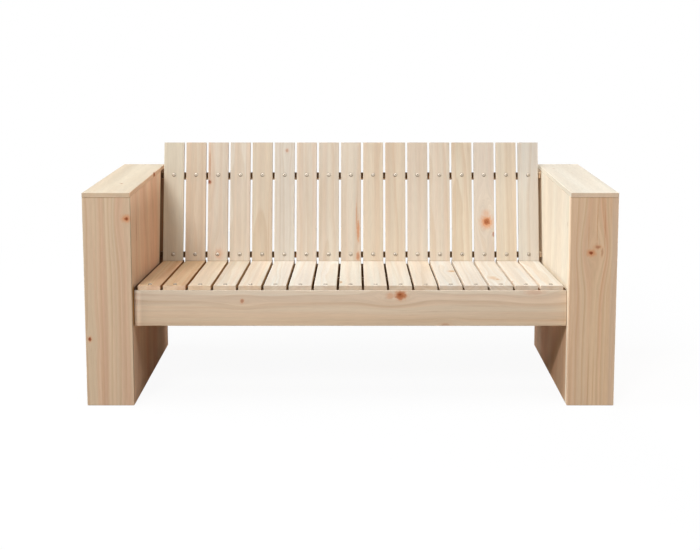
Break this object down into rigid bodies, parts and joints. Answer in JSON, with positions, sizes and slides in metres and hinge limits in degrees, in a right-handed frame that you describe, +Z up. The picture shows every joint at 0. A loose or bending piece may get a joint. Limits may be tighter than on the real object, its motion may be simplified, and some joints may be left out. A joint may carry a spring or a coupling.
{
  "type": "garden sofa",
  "caption": "Low slatted pine garden sofa with wide hollow box arms, a slightly falling slatted seat and a leaning slatted back.",
  "frame": {"origin": "on the floor, midway between the arms and midway along their depth", "axes": "+X to the right as seen from in front, +Y to the rear, +Z up"},
  "size_m": [1.39, 0.6, 0.641],
  "materials": {
    "arm_pine": "planed, bare",
    "batten_pine": "sawn, bare",
    "rail_pine": "planed, bare",
    "seat_slat_pine": "planed, bare",
    "back_slat_pine": "planed, bare",
    "screw_steel": "zinc plated"
  },
  "bodies": {
    "root": {"left_arm_front_board": "arm_pine", "left_arm_rear_board": "arm_pine", "left_arm_top_board": "arm_pine", "left_arm_inner_panel": "arm_pine", "left_arm_outer_panel": "arm_pine", "left_arm_corner_battens": "batten_pine", "left_arm_top_cleats": "batten_pine", "right_arm_front_board": "arm_pine", "right_arm_rear_board": "arm_pine", "right_arm_top_board": "arm_pine", "right_arm_inner_panel": "arm_pine", "right_arm_outer_panel": "arm_pine", "right_arm_corner_battens": "batten_pine", "right_arm_top_cleats": "batten_pine", "front_seat_rail": "rail_pine", "middle_seat_rail": "rail_pine", "rear_seat_rail": "rail_pine", "upper_back_rail": "rail_pine", "lower_back_rail": "rail_pine", "seat_slat_01": "seat_slat_pine", "seat_slat_02": "seat_slat_pine", "seat_slat_03": "seat_slat_pine", "seat_slat_04": "seat_slat_pine", "seat_slat_05": "seat_slat_pine", "seat_slat_06": "seat_slat_pine", "seat_slat_07": "seat_slat_pine", "seat_slat_08": "seat_slat_pine", "seat_slat_09": "seat_slat_pine", "seat_slat_10": "seat_slat_pine", "seat_slat_11": "seat_slat_pine", "seat_slat_12": "seat_slat_pine", "seat_slat_13": "seat_slat_pine", "seat_slat_14": "seat_slat_pine", "seat_slat_15": "seat_slat_pine", "seat_slat_16": "seat_slat_pine", "seat_slat_17": "seat_slat_pine", "back_slat_01": "back_slat_pine", "back_slat_02": "back_slat_pine", "back_slat_03": "back_slat_pine", "back_slat_04": "back_slat_pine", "back_slat_05": "back_slat_pine", "back_slat_06": "back_slat_pine", "back_slat_07": "back_slat_pine", "back_slat_08": "back_slat_pine", "back_slat_09": "back_slat_pine", "back_slat_10": "back_slat_pine", "back_slat_11": "back_slat_pine", "back_slat_12": "back_slat_pine", "back_slat_13": "back_slat_pine", "back_slat_14": "back_slat_pine", "back_slat_15": "back_slat_pine", "back_slat_16": "back_slat_pine", "back_slat_17": "back_slat_pine", "seat_slat_screws": "screw_steel", "back_slat_screws": "screw_steel", "rail_screws": "screw_steel"}
  },
  "joints": []
}
